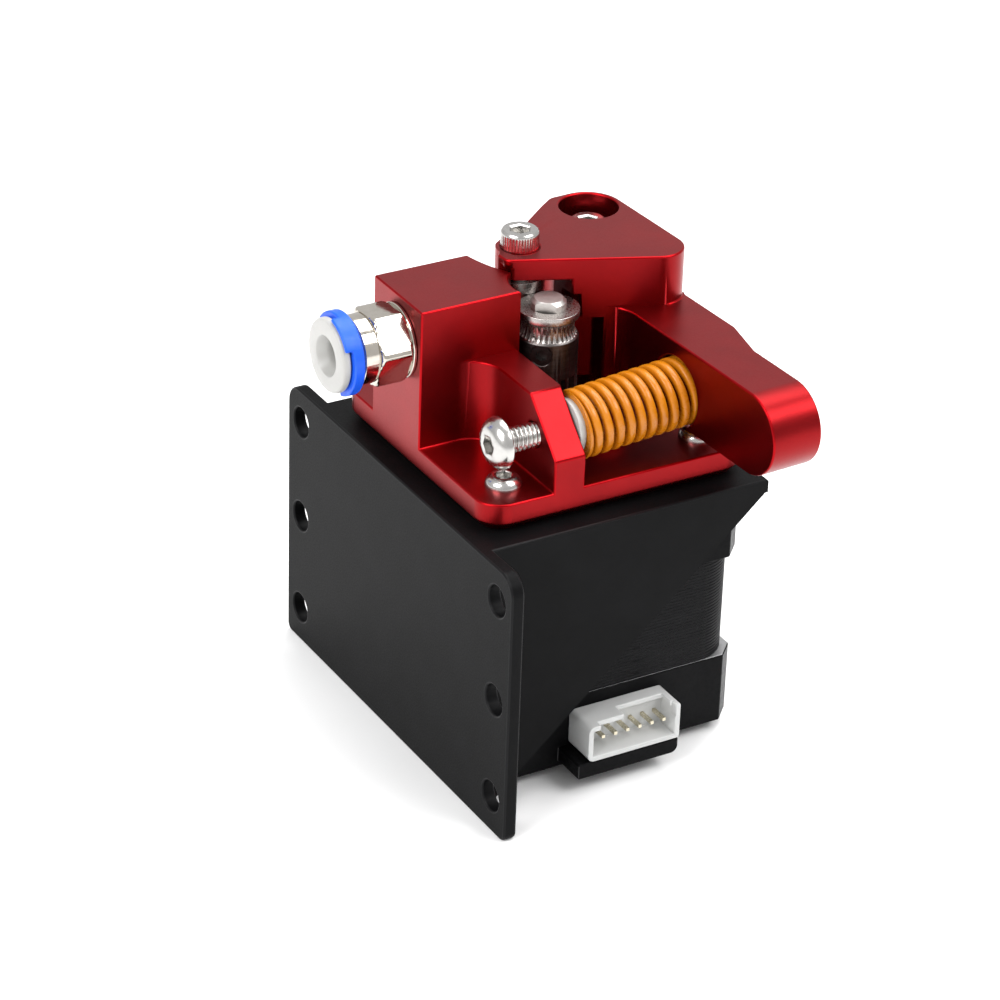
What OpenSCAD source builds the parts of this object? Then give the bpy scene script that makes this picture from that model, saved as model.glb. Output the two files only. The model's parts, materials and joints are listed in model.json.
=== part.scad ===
// Direct-drive filament extruder with two meshed drive gears, on a NEMA 17 stepper and an L bracket.
// The origin is the middle of the six plate holes on the bracket's mounting face. The face looks along -X,
// which is also the way the filament leaves, and +Z points from the motor to the gears.
// The sub-parts are drawn about the motor axis, with Z = 0 on top of the bracket's shelf, and from_motor()
// brings them into that frame.

/* [Motor] */
// Side of the square motor
motor_side = 42.3; // [42:0.1:42.5]
// Distance between neighbouring motor face holes
hole_spacing = 31; // [30.8:0.1:31.2]
// Length of the motor body
motor_length = 38; // [36:0.5:44]
// Diameter of the motor shaft
shaft_d = 5; // [4.9:0.1:5.1]
// Height of the shaft end above the bracket shelf
shaft_top = 22.5; // [22:0.1:23]

/* [Bracket] */
// Thickness of the bracket's sheet
sheet_t = 2; // [1.8:0.1:2.4]
// Width of the upright mounting plate
plate_w = 65; // [63:0.5:68]
// Height of the upright mounting plate
plate_h = 41.5; // [40:0.5:44]
// Width of the shelf between the outsides of its two gussets
shelf_w = 48; // [47:0.5:50]
// Distance between the two columns of plate holes
plate_hole_w = 57; // [56:0.5:58]
// Distance between neighbouring holes in a column
plate_hole_h = 15.5; // [15:0.25:16]
// Diameter of the six plate holes
plate_hole_d = 4.5; // [4.2:0.1:4.8]

/* [Base] */
// Side of the square red base
base_side = 42; // [41.5:0.1:42.4]
// Thickness of the base slab
base_t = 4.4; // [4.2:0.1:4.8]
// Height of the block that holds the tube fitting
tower_top = 25.2; // [24.6:0.1:25.4]
// Height of the wall that holds the tension screw
wall_top = 16.4; // [15.6:0.1:17]

/* [Gears] */
// Number of teeth on each drive gear
teeth = 15; // [14:1:16]
// Outside radius of the teeth
tip_r = 4.4; // [4.35:0.01:4.45]
// Bottom radius of the tooth gaps
root_r = 3.55; // [3.45:0.01:3.6]
// Height of the filament's centre line above the shelf
filament_z = 18.5; // [18.4:0.1:18.6]
// Distance of the filament's centre line from the motor axis
filament_y = 4.7; // [4.6:0.05:4.8]

/* [Lever] */
// Angle of the lever at rest, turned from square about its pivot
lever_rest = 2.8; // [2.6:0.1:3]
// Height of the lever's top face
lever_top = 26.85; // [26.8:0.05:27]
// Height of the handle's top face
handle_top = 19.4; // [19:0.1:19.8]
// Underside of the lever
lever_bottom = 7.5; // [7.4:0.05:7.6]

/* [Spring] */
// Outside diameter of the spring
spring_d = 9.9; // [9.6:0.1:10]
// Number of turns in the spring
spring_turns = 11.5; // [10:0.5:12]
// Height of the tension screw's axis
tension_z = 10.65; // [10.5:0.05:10.8]

/* [Hidden] */

$fn = 64;
eps = 0.01;
run = 0.05;

// Colours
red = "#a8101c";
black = "#151517";
steel = "#c9ccd0";
gear_steel = "#77767a";
nickel = "#c8c4ba";
spring_orange = "#f59a1d";
ivory = "#e8e6da";
clip_blue = "#2468e8";
copper = "#b5651d";

// Standard fasteners
m3_r = 1.5;
m3_hole_r = 1.6;
socket_head_r = 2.75;
socket_head_h = 3;
corner = hole_spacing / 2;
CORNERS = [[corner, corner], [-corner, corner], [-corner, -corner], [corner, -corner]];

// Bracket
plate_in = -21.7;
plate_out = plate_in - sheet_t;
plate_corner_r = 3;
plate_foot_r = 1.2;
PLATE_RADII = [plate_foot_r, plate_foot_r, plate_corner_r, plate_corner_r];
shelf_end = 22.3;
gusset_end_h = 1.6;
plate_hole_top = -5;
boss_r = 11;
boss_hole_r = 11.25;

// Motor, measured down from its front face
motor_front = -sheet_t;
front_cap_h = 11;
rear_cap_h = 11;
stack_top = motor_front - front_cap_h;
motor_back = motor_front - motor_length;
stack_bottom = motor_back + rear_cap_h;
cap_cut = 2.6;
stack_r = 6.5;
slot_r = 17;
pole_r = 11.1;
shoe_r = 12.6;
pole_w = 4.2;
poles = 8;
rotor_r = 10.9;
coil_over = 1.9;
bearing_r = 7;
bearing_w = 5;
front_bearing_z = -9;
rear_bearing_z = motor_back + 2.6;
ball_ring_r = 4.75;
ball_r = 1.15;
balls = 8;
flat_angle = 228.7;
flat_depth = 0.5;

// Connector on the near side of the rear cap
plug_x = 0.6;
plug_w = 15;
plug_out = 5.6;
plug_top = -31;
plug_h = 5.7;
plug_end_r = 1;
plug_shelf_x = -8.4;
plug_shelf_w = 16.4;
plug_shelf_h = 2.4;
plug_shelf_r = 1.1;
pins = 6;
pin_pitch = 2;
pin_x = 1.2;
plug_pins_y = -motor_side / 2 - plug_out + 1.2;

// Base block
base_r = 4;
base_chamfer = 1.4;
tower_near = -1.6;
tower_far = 12;
tower_end = -2;
wall_left = -10.8;
wall_right = -5.9;
wall_flat_y = -13.8;
cove_r = 4.4;
pedestal_top = 6.9;
pedestal_r = 4.6;
bore_r = 6;
well_r = 5.7;

// Lever, drawn square and then turned about its pivot by lever_rest
pivot = [corner, corner];
idler_local = [-0.5, 8.9];
near_slope = -0.483;
near_y0 = 3.56;
far_slope = 0.742;
far_y0 = 11.55;
lever_left = -4.6;
lever_right = 20.6;
lever_back = 20.5;
lever_step_z = 17.8;
lip_z = 25.7;
lip_r = 21.6;
plate_low = 23.6;
lug_r = 3.4;
lug_bottom = 5.2;
lug_top = 8.65;
inlet_r = 1.5;
slot_clear_r = 5;
step_in = 2.3;
grip_r = 6.05;
grip_y = -31.6;
grip_z = 13.35;
wing_in = 10.4;
wing_out = 20.3;
grip_out = 18.4;
wing_fillet_r = 4.3;
pivot_floor = 21.65;
spot_depth = 0.3;

// Gears
gear_low = 8.6;
gear_teeth_top = 11.5;
gear_top = 21.1;
idler_low = 9.1;
idler_top = 22.8;
drive_neck_r = 4.35;
drive_collar_r = 4.4;
idler_neck_r = 3.7;
hob_h = 1.2;
drive_hob_r = 2;
drive_hob_root = 3.7;
idler_hob_r = 1.2;
idler_hob_root = 3.1;
hob_cuts = 32;
hob_cut_w = 0.36;
hob_cut_depth = 0.15;
set_z = 15.4;
needle_r = 0.4;
needle_gap = 0.02;
needles = 12;
cup_r = 2.6;
NEEDLE_ROWS = [[9.4, 15.2], [16.4, 22.4]];

// Tension screw, spring and seat
tension_y = -15;
screw_r = 1.8;
screw_head_x = -15.9;
screw_head_r = 3.7;
screw_head_h = 2.2;
screw_tip = -4.5;
seat_x = -5.7;
seat_t = 1;
seat_r = 4;
seat_nose_r = 2.9;
seat_nose_h = 2.6;
spring_from = [-4.65, tension_y, tension_z];
spring_to = [13.2, -14.8, 11.9];
wire_w = 0.95;
wire_t = 1.3;
coil_steps = 20;

// Tube fitting, along -X from the tower's face
face_x = -base_side / 2;
ring_r = 5.4;
ring_t = 0.5;
hex_af = 10;
hex_x = face_x - ring_t;
hex_l = 4.9;
neck_x = hex_x - hex_l;
neck_l = 2.5;
fitting_neck_r = 5;
thread_r = 2.98;
thread_l = 6;
tube_r = 2.05;
guide_r = 1.1;
sleeve_r = 3;
flange_x = -31;
flange_t = 1.3;
flange_r = 5.3;
clip_r = 6;
clip_x = -29.25;
clip_t = 1.6;
clip_tab = 1.1;
clip_angle = 125;
clip_tab_half = 28;
clip_mouth_half = 50;

// Vectors of a corner of a polygon, used to round it
function unit(v) = v / norm(v);
function half_angle(p, v, q) = acos(unit(p - v) * unit(q - v)) / 2;
function run_length(p, v, q, r) = r / tan(half_angle(p, v, q));
function arc_centre(p, v, q, r) = v + unit(unit(p - v) + unit(q - v)) * r / sin(half_angle(p, v, q));
function turn(v, a) = [v.x * cos(a) - v.y * sin(a), v.x * sin(a) + v.y * cos(a)];
function placed(v) = pivot + turn(v - pivot, lever_rest);

function near_y(x) = near_y0 + near_slope * x;
function fillet_centre() =
    let (x = wing_in - wing_fillet_r)
    [x, near_y(x) - wing_fillet_r * norm([1, near_slope])];
function near_touch() = fillet_centre() + wing_fillet_r * unit([-near_slope, 1]);

idler = placed(idler_local);
mesh_distance = norm(idler);
mesh_angle = atan2(idler.y, idler.x);

// A convex polygon with each corner rounded by its own radius
module soft_polygon(points, radii) {
    n = len(points);
    polygon([
        for (i = [0 : n - 1])
            let (p = points[(i + n - 1) % n], v = points[i], q = points[(i + 1) % n])
            each [
                v + unit(p - v) * run_length(p, v, q, radii[i]),
                v + unit(q - v) * run_length(p, v, q, radii[i])
            ]
    ]);
    for (i = [0 : n - 1])
        translate(arc_centre(points[(i + n - 1) % n], points[i], points[(i + 1) % n], radii[i]))
            circle(r = radii[i]);
}

// A rectangle with its own radius at each corner, from the low left one round
module rounded_bar(w, h, radii) {
    soft_polygon([[-w / 2, -h / 2], [w / 2, -h / 2], [w / 2, h / 2], [-w / 2, h / 2]], radii);
}

module soft_square(w, h, r) {
    rounded_bar(w, h, [r, r, r, r]);
}

module cut_square(side, cut) {
    s = side / 2;
    polygon([
        [s - cut, -s], [s, cut - s], [s, s - cut], [s - cut, s],
        [cut - s, s], [-s, s - cut], [-s, cut - s], [cut - s, -s]
    ]);
}

// A disc between two heights
module disc(r, z0, z1) {
    translate([0, 0, z0])
        cylinder(r = r, h = z1 - z0);
}

module tube(r_out, r_in, z0, z1) {
    difference() {
        disc(r_out, z0, z1);
        disc(r_in, z0 - 1, z1 + 1);
    }
}

// A child drawn along +Z, laid along +X or -X from a point on the filament line
module along_filament(x, direction = 1) {
    translate([x, filament_y, filament_z])
        rotate([0, 90 * direction, 0])
            children();
}

// From the motor axis and the top of the shelf to the middle of the plate holes
module from_motor() {
    translate([-plate_out, 0, plate_hole_h - plate_hole_top])
        children();
}

module in_lever() {
    translate(pivot)
        rotate(lever_rest)
            translate(-pivot)
                children();
}

module at_idler() {
    translate([idler.x, idler.y, 0])
        children();
}

module at_corners(list) {
    for (c = list)
        translate([c.x, c.y, 0])
            children();
}

// Socket head screw with its head's underside at z and its shank downwards
module socket_screw(z, length, r = m3_r, hex = 2.5) {
    difference() {
        union() {
            disc(socket_head_r, z, z + socket_head_h);
            disc(r, z - length, z + eps);
        }
        translate([0, 0, z + socket_head_h - 1.5])
            cylinder(d = hex / cos(30), h = 2, $fn = 6);
    }
}

// Button head screw: a domed head of radius r and height h over a shank
module button_screw(r, h, shank_r, length, hex) {
    dome_r = (r * r + h * h) / (2 * h) + 0.25;
    difference() {
        union() {
            intersection() {
                disc(r, 0, h);
                translate([0, 0, h - dome_r])
                    sphere(r = dome_r);
            }
            disc(shank_r, -length, eps);
        }
        translate([0, 0, h * 0.35])
            cylinder(d = hex / cos(30), h = h, $fn = 6);
    }
}

module mount_bracket() {
    color(black)
    from_motor()
    difference() {
        union() {
            translate([plate_out, 0, -plate_h / 2])
                rotate([90, 0, 90])
                    linear_extrude(sheet_t)
                        rounded_bar(plate_w, plate_h, PLATE_RADII);
            translate([plate_in - eps, -shelf_w / 2, -sheet_t])
                cube([shelf_end - plate_in + eps, shelf_w, sheet_t]);
            for (side = [-1, 1])
                translate([0, side > 0 ? shelf_w / 2 : sheet_t - shelf_w / 2, 0])
                    rotate([90, 0, 0])
                        linear_extrude(sheet_t)
                            polygon([
                                [plate_in - eps, 0], [shelf_end, 0],
                                [shelf_end, -gusset_end_h], [plate_in - eps, -plate_h]
                            ]);
        }
        for (y = [-1, 1], row = [0 : 2])
            translate([plate_out - 1, y * plate_hole_w / 2, plate_hole_top - row * plate_hole_h])
                rotate([0, 90, 0])
                    cylinder(d = plate_hole_d, h = sheet_t + 2);
        disc(boss_hole_r, -sheet_t - 1, 1);
        at_corners(CORNERS)
            disc(m3_hole_r, -sheet_t - 1, 1);
    }
}

module base_slab() {
    translate([0, 0, base_chamfer])
        linear_extrude(base_t - base_chamfer)
            soft_square(base_side, base_side, base_r);
    hull() {
        translate([0, 0, base_chamfer - eps])
            linear_extrude(2 * eps)
                soft_square(base_side, base_side, base_r, $fn = 32);
        foot = base_side - 2 * base_chamfer;
        linear_extrude(eps)
            soft_square(foot, foot, base_r - base_chamfer, $fn = 32);
    }
}

module spring_wall() {
    near = -base_side / 2;
    far = tower_near + eps;
    translate([wall_left, 0, 0])
        rotate([90, 0, 90])
            linear_extrude(wall_right - wall_left)
                polygon([
                    [near, base_chamfer], [far, base_chamfer], [far, wall_top],
                    [wall_flat_y, wall_top], [near, wall_top - (wall_flat_y - near)]
                ]);
    translate([wall_left, tower_near, base_chamfer])
        linear_extrude(wall_top - base_chamfer)
            difference() {
                translate([-cove_r, -cove_r])
                    square(cove_r + eps);
                translate([-cove_r, -cove_r])
                    circle(r = cove_r);
            }
}

module base_body() {
    color(red)
    from_motor()
    difference() {
        union() {
            base_slab();
            translate([-base_side / 2, tower_near, base_chamfer])
                cube([tower_end + base_side / 2, tower_far - tower_near, tower_top - base_chamfer]);
            spring_wall();
            translate([pivot.x, pivot.y, 0])
                disc(pedestal_r, base_t - eps, pedestal_top);
        }
        // Way for the lever and the idler gear, which swing about the pivot
        translate([pivot.x, pivot.y, base_t])
            difference() {
                cylinder(r = 22.1, h = tower_top, $fn = 160);
                translate([0, 0, -1])
                    cylinder(r = pedestal_r + eps, h = pedestal_top - base_t + 1);
            }
        disc(well_r, base_t, tower_top + 1);
        disc(bore_r, -1, base_t + 1);
        at_corners(CORNERS)
            disc(m3_hole_r, -1, pedestal_top + 1);
        translate([wall_left - cove_r - 1, tension_y, tension_z])
            rotate([0, 90, 0])
                cylinder(r = screw_r + run, h = wall_right - wall_left + cove_r + 2);
        along_filament(face_x - 1)
            cylinder(r = thread_r + run, h = thread_l + 1.5);
        along_filament(face_x)
            cylinder(r = guide_r, h = -face_x);
    }
}

// Outline of the lever's block seen from above
module lever_outline() {
    soft_polygon(
        [
            [lever_left, near_y(lever_left)],
            [lever_right, near_y(lever_right)],
            [lever_right, lever_back],
            [(lever_back - far_y0) / far_slope, lever_back],
            [lever_left, far_y0 + far_slope * lever_left]
        ],
        [1.4, 4.1, 5.1, 2, 0.4]
    );
}

module wing_outline() {
    polygon([
        [wing_in, 2], [wing_in, grip_y], [grip_out, grip_y], [grip_out, -21.7],
        [wing_out, -14.3], [wing_out, 2]
    ]);
    // Fillet between the wing and the block
    fillet = fillet_centre();
    foot = near_touch();
    difference() {
        polygon([foot, [foot.x, 3.5], [wing_in + 1, 3.5], [wing_in + 1, fillet.y], [wing_in, fillet.y]]);
        translate(fillet)
            circle(r = wing_fillet_r);
    }
}

// The lever keeps inside this radius about its pivot, except for the lip that runs over the tower
module swing_room() {
    translate(pivot)
        circle(r = lip_r);
}

// Side of the lever's near face, moved in by the step
module in_front_of_step() {
    drop = step_in / cos(atan(near_slope));
    polygon([
        [-30, -40], [40, -40],
        [40, near_y(40) + drop], [-30, near_y(-30) + drop]
    ]);
}

module lever_solid() {
    difference() {
        translate([0, 0, lever_bottom])
            linear_extrude(lever_top - lever_bottom)
                lever_outline();
        translate([0, 0, lever_bottom - 1])
            linear_extrude(lip_z - lever_bottom + 1)
                difference() {
                    translate([lever_left - 4, -10])
                        square([12, 30]);
                    swing_room();
                }
        // Lower block, set back from the upper one
        translate([0, 0, lever_bottom - 1])
            linear_extrude(lever_step_z - lever_bottom + 1)
                in_front_of_step();
    }
    // Ears that hold the idler's screw
    translate([idler_local.x, idler_local.y, 0]) {
        disc(lug_r, plate_low, lever_top);
        disc(lug_r + 0.6, lug_bottom, lug_top);
    }
    // Wing and its rounded grip
    translate([0, 0, lever_bottom])
        linear_extrude(handle_top - lever_bottom)
            wing_outline();
    translate([wing_in, grip_y, grip_z])
        rotate([0, 90, 0])
            intersection() {
                cylinder(r = grip_r, h = grip_out - wing_in, $fn = 96);
                translate([grip_z - handle_top, -20, 0])
                    cube([handle_top - lever_bottom, 40, 20]);
            }
}

module tension_lever() {
    drive_local = turn(-pivot, -lever_rest) + pivot;
    color(red)
    from_motor()
    difference() {
        in_lever()
            difference() {
                lever_solid();
                // Slot for the idler gear, open towards the drive gear
                translate([0, 0, lug_top])
                    linear_extrude(plate_low - lug_top) {
                        translate(idler_local)
                            circle(r = slot_clear_r);
                        translate([-12, -8])
                            square([15.8, 30]);
                    }
                // Clearance round the drive gear
                translate([drive_local.x, drive_local.y, lug_bottom - 1])
                    cylinder(r = 5.75, h = gear_top + 0.4 - lug_bottom + 1);
                translate([lever_left - 2, -8, lug_bottom - 1])
                    cube([6, 12.6, lug_top - lug_bottom + 1 + eps]);
                translate([idler_local.x, idler_local.y, 0]) {
                    disc(m3_r + 0.02, lug_bottom - 1, lever_top + 1);
                    disc(socket_head_r + 0.1, lever_top - spot_depth, lever_top + 1);
                }
                // Pivot bore and its counterbore
                translate([pivot.x, pivot.y, 0]) {
                    disc(2.55, lever_bottom - 1, lever_top);
                    disc(4.3, pivot_floor, lever_top + 1);
                }
            }
        // Filament way through the lever
        along_filament(3)
            cylinder(r = inlet_r, h = 20);
        along_filament(placed([lever_right, 5]).x - 1.2)
            cylinder(r1 = inlet_r - 0.5, r2 = inlet_r + 1.2, h = 1.7);
        // Round seat for the end of the spring
        translate([13.3, -14.8, 11.9])
            rotate([0, -90, lever_rest])
                cylinder(r = spring_d / 2 + 0.3, h = 6);
    }
}

// Straight-sided teeth with play, in mesh at mesh_distance
module toothed(height) {
    pitch_r = mesh_distance / 2;
    step = 360 / teeth;
    tip_half = 2.4;
    pitch_half = 4.5;
    root_half = 7;
    linear_extrude(height)
        polygon([
            for (i = [0 : teeth - 1])
                each [
                    turn([root_r, 0], i * step - root_half),
                    turn([pitch_r, 0], i * step - pitch_half),
                    turn([tip_r, 0], i * step - tip_half),
                    turn([tip_r, 0], i * step + tip_half),
                    turn([pitch_r, 0], i * step + pitch_half),
                    turn([root_r, 0], i * step + root_half)
                ]
        ]);
}

// Concave ring of fine cuts that bites into the filament
module hob_groove(groove_root_r, groove_r) {
    translate([0, 0, filament_z])
        rotate_extrude()
            translate([groove_root_r + groove_r, 0])
                circle(r = groove_r);
    for (i = [0 : hob_cuts - 1])
        rotate(i * 360 / hob_cuts)
            translate([groove_root_r - hob_cut_depth, -hob_cut_w / 2, filament_z - hob_h])
                cube([2, hob_cut_w, 2 * hob_h]);
}

module gear_blank(z0, z1, neck_r, collar_r) {
    translate([0, 0, z0])
        toothed(gear_teeth_top - z0);
    disc(neck_r, gear_teeth_top - eps, filament_z - hob_h);
    disc(collar_r, filament_z - hob_h - eps, z1);
}

module drive_gear() {
    color(gear_steel)
    from_motor()
    difference() {
        rotate(mesh_angle)
            difference() {
                gear_blank(gear_low, gear_top, drive_neck_r, drive_collar_r);
                hob_groove(drive_hob_root, drive_hob_r);
            }
        disc(shaft_d / 2 + eps, gear_low - 1, gear_top + 1);
        translate([0, 0, set_z])
            rotate([0, 90, flat_angle])
                cylinder(r = m3_r + eps, h = 6);
    }
}

module drive_set_screw() {
    color(steel)
    from_motor()
    translate([0, 0, set_z])
        rotate([0, 90, flat_angle])
            difference() {
                disc(m3_r - eps, shaft_d / 2 - flat_depth + eps, drive_neck_r - 0.15);
                translate([0, 0, drive_neck_r - 1.2])
                    cylinder(d = 1.5 / cos(30), h = 2, $fn = 6);
            }
}

module idler_gear() {
    color(gear_steel)
    from_motor()
    at_idler()
        difference() {
            rotate(mesh_angle + 180 + 180 / teeth)
                difference() {
                    gear_blank(idler_low, idler_top, idler_neck_r, idler_neck_r);
                    hob_groove(idler_hob_root, idler_hob_r);
                }
            disc(cup_r + eps, idler_low - 1, idler_top + 1);
        }
}

module idler_needle_cups() {
    color(steel)
    from_motor()
    at_idler()
        for (row = NEEDLE_ROWS)
            difference() {
                disc(cup_r, row[0] - 0.3, row[1] + 0.3);
                disc(m3_r + 2 * needle_r + 2 * needle_gap, row[0], row[1]);
                disc(m3_r + 0.2, row[0] - 1, row[1] + 1);
            }
}

module idler_needles() {
    color(steel)
    from_motor()
    at_idler()
        for (row = NEEDLE_ROWS, i = [0 : needles - 1])
            rotate(i * 360 / needles)
                translate([m3_r + needle_gap + needle_r, 0, row[0] + 0.05])
                    cylinder(r = needle_r, h = row[1] - row[0] - 0.1, $fn = 24);
}

module idler_shims() {
    color(steel)
    from_motor()
    at_idler() {
        tube(3, m3_r + run, lug_top + eps, idler_low - run);
        tube(3, m3_r + run, idler_top + run, plate_low - run);
    }
}

module idler_shaft_screw() {
    color(steel)
    from_motor()
    at_idler()
        socket_screw(lever_top - spot_depth, lever_top - spot_depth - lug_bottom - 0.4);
}

module pivot_screw() {
    color(steel)
    from_motor()
    translate([pivot.x, pivot.y, 0])
        socket_screw(pivot_floor + 0.1, pivot_floor + 0.1 + 6.4);
}

module pivot_bush() {
    color("#a58a4a")
    from_motor()
    translate([pivot.x, pivot.y, 0])
        tube(2.5, m3_r + 0.02, pedestal_top + 0.5, pivot_floor + 0.1);
}

module pivot_washer() {
    color(steel)
    from_motor()
    translate([pivot.x, pivot.y, 0])
        tube(3.5, m3_hole_r, pedestal_top, pedestal_top + 0.5);
}

module mount_screws() {
    color(steel)
    from_motor()
    at_corners([CORNERS[1], CORNERS[2], CORNERS[3]])
        translate([0, 0, base_t])
            button_screw(2.6, 1.65, m3_r, base_t + 6.4, 2);
}

module tension_screw() {
    color(steel)
    from_motor()
    translate([screw_head_x, tension_y, tension_z])
        rotate([0, -90, 0])
            button_screw(screw_head_r, screw_head_h, screw_r, screw_tip - screw_head_x, 2.5);
}

module spring_seat() {
    color(ivory)
    from_motor()
    translate([seat_x, tension_y, tension_z])
        rotate([0, 90, 0])
            difference() {
                union() {
                    disc(seat_r, 0, seat_t);
                    disc(seat_nose_r, 0, seat_t + seat_nose_h);
                }
                disc(screw_r + run, -1, screw_tip - seat_x + eps);
            }
}

// Flat-wire helix between its two end points
module tension_spring() {
    axis = spring_to - spring_from;
    length = norm(axis);
    steps = round(spring_turns * coil_steps);
    r_mid = (spring_d - wire_t) / 2;
    rise = (length - wire_w) / steps;
    section = [[-wire_t, -wire_w], [wire_t, -wire_w], [wire_t, wire_w], [-wire_t, wire_w]] / 2;
    points = [
        for (i = [0 : steps], s = section)
            let (a = i * 360 / coil_steps, r = r_mid + s.x)
            [r * cos(a), r * sin(a), wire_w / 2 + i * rise + s.y]
    ];
    walls = [
        for (i = [0 : steps - 1], k = [0 : 3])
            let (here = 4 * i, there = here + 4, next = (k + 1) % 4)
            each [[here + next, there + next, there + k], [here + next, there + k, here + k]]
    ];
    last = 4 * steps;
    color(spring_orange)
    from_motor()
    translate(spring_from)
        rotate([0, acos(axis.z / length), atan2(axis.y, axis.x)])
            polyhedron(
                points = points,
                faces = concat([[3, 2, 1, 0]], walls, [[last, last + 1, last + 2, last + 3]])
            );
}

module fitting_body() {
    color(nickel)
    from_motor()
    difference() {
        union() {
            along_filament(face_x - eps)
                cylinder(r = thread_r, h = thread_l);
            along_filament(hex_x)
                cylinder(r = ring_r, h = ring_t);
            along_filament(neck_x)
                rotate(25)
                    cylinder(d = hex_af / cos(30), h = hex_l + eps, $fn = 6);
            along_filament(neck_x - neck_l)
                cylinder(r = fitting_neck_r, h = neck_l + eps);
        }
        along_filament(face_x + 1.5, -1)
            cylinder(r = tube_r, h = 12);
        along_filament(neck_x + 1.9, -1)
            cylinder(r = 3.2, h = 6);
        along_filament(neck_x + 0.4, -1)
            cylinder(r = 3.7, h = 6);
        along_filament(face_x + thread_l + 1, -1)
            cylinder(r = guide_r, h = 12);
    }
}

module fitting_grip_ring() {
    color(steel)
    from_motor()
    along_filament(neck_x - 0.1)
        difference() {
            tube(3.6, tube_r + 0.05, 0, 0.4);
            for (i = [0 : 7])
                rotate(i * 45)
                    translate([0, -0.15, -1])
                        cube([3, 0.3, 3]);
        }
}

module fitting_o_ring() {
    color(black)
    from_motor()
    along_filament(neck_x + 1.2)
        rotate_extrude()
            translate([2.62, 0])
                circle(r = 0.5);
}

module fitting_collet() {
    color(ivory)
    from_motor()
    difference() {
        union() {
            along_filament(flange_x, -1)
                cylinder(r = flange_r, h = flange_t);
            along_filament(flange_x)
                cylinder(r = sleeve_r, h = neck_x - flange_x - 0.6);
        }
        along_filament(flange_x - flange_t - 1)
            cylinder(r = tube_r, h = 10);
    }
}

// A wedge of a circle, half_angle to each side of +X
module wedge(r, half) {
    polygon([[0, 0], [r, -r * tan(half)], [r, r * tan(half)]]);
}

// C-shaped clip: its mouth faces away from the finger tab, which reaches over the rim of the collet
module fitting_clip() {
    color(clip_blue)
    from_motor()
    along_filament(clip_x, -1)
        rotate(90 - clip_angle) {
            linear_extrude(clip_t)
                difference() {
                    circle(r = clip_r);
                    circle(r = sleeve_r + run);
                    translate([-clip_r - 1, -sleeve_r - run])
                        square([clip_r + 1, 2 * (sleeve_r + run)]);
                    rotate(180)
                        wedge(2 * clip_r, clip_mouth_half);
                }
            translate([0, 0, clip_t - eps])
                linear_extrude(clip_tab)
                    intersection() {
                        difference() {
                            circle(r = clip_r);
                            circle(r = flange_r + 0.15);
                        }
                        wedge(2 * clip_r, clip_tab_half);
                    }
        }
}

module motor_front_cap() {
    color(black)
    from_motor()
    difference() {
        union() {
            translate([0, 0, stack_top])
                linear_extrude(front_cap_h)
                    cut_square(motor_side, cap_cut);
            disc(boss_r, motor_front - eps, 0);
        }
        disc(slot_r + 0.4, stack_top - 1, stack_top + 3);
        disc(bearing_r + eps, stack_top - 1, front_bearing_z + bearing_w);
        disc(3.6, stack_top, 1);
        at_corners(CORNERS)
            disc(m3_r + 0.02, stack_top - 1, 0);
    }
}

module stator_profile() {
    difference() {
        soft_square(motor_side - 0.3, motor_side - 0.3, stack_r);
        difference() {
            circle(r = slot_r);
            for (i = [0 : poles - 1])
                rotate(i * 360 / poles)
                    translate([pole_r, -pole_w / 2])
                        square([slot_r - pole_r + 1, pole_w]);
            difference() {
                circle(r = shoe_r);
                for (i = [0 : poles - 1])
                    rotate((i + 0.5) * 360 / poles)
                        translate([0, -1.2])
                            square([slot_r, 2.4]);
            }
        }
        circle(r = pole_r);
        for (c = CORNERS)
            translate(c)
                circle(r = m3_hole_r);
    }
}

module motor_stator() {
    color("#26262a")
    from_motor()
    translate([0, 0, stack_bottom])
        linear_extrude(stack_top - stack_bottom)
            stator_profile();
}

// A rectangular ring round each pole, reaching past the stack at both ends
module pole_ring(inner_w, outer_w, r0, r1, inner_over, outer_over) {
    stack = stack_top - stack_bottom;
    for (i = [0 : poles - 1])
        rotate(i * 360 / poles)
            translate([r0, 0, stack_bottom])
                difference() {
                    translate([0, -outer_w / 2, -outer_over])
                        cube([r1 - r0, outer_w, stack + 2 * outer_over]);
                    translate([-1, -inner_w / 2, -inner_over])
                        cube([r1 - r0 + 2, inner_w, stack + 2 * inner_over]);
                }
}

module motor_windings() {
    color(copper)
    from_motor()
    pole_ring(pole_w + 0.8, pole_w + 3.4, 13.1, 16.2, 0.4, coil_over);
}

module winding_bobbins() {
    color(ivory)
    from_motor()
    pole_ring(pole_w + 0.04, pole_w + 0.76, 12.8, 16.5, 0.02, 0.38);
}

module motor_rear_cap() {
    s = motor_side / 2;
    color(black)
    from_motor()
    difference() {
        union() {
            translate([0, 0, motor_back])
                linear_extrude(rear_cap_h)
                    cut_square(motor_side, cap_cut);
            translate([plug_shelf_x + plug_shelf_w / 2, 1 - s, plug_top - plug_h - plug_shelf_h / 2])
                rotate([90, 0, 0])
                    linear_extrude(plug_out + 1)
                        rounded_bar(plug_shelf_w, plug_shelf_h, [0.3, plug_shelf_r, 0.3, 0.3]);
        }
        disc(slot_r + 0.4, stack_bottom - 3, stack_bottom + 1);
        disc(bearing_r + eps, rear_bearing_z - 0.6, stack_bottom);
        at_corners(CORNERS) {
            disc(m3_hole_r, motor_back - 1, stack_bottom + 1);
            disc(socket_head_r + 0.2, motor_back - 1, motor_back + 3.2);
        }
    }
}

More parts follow.
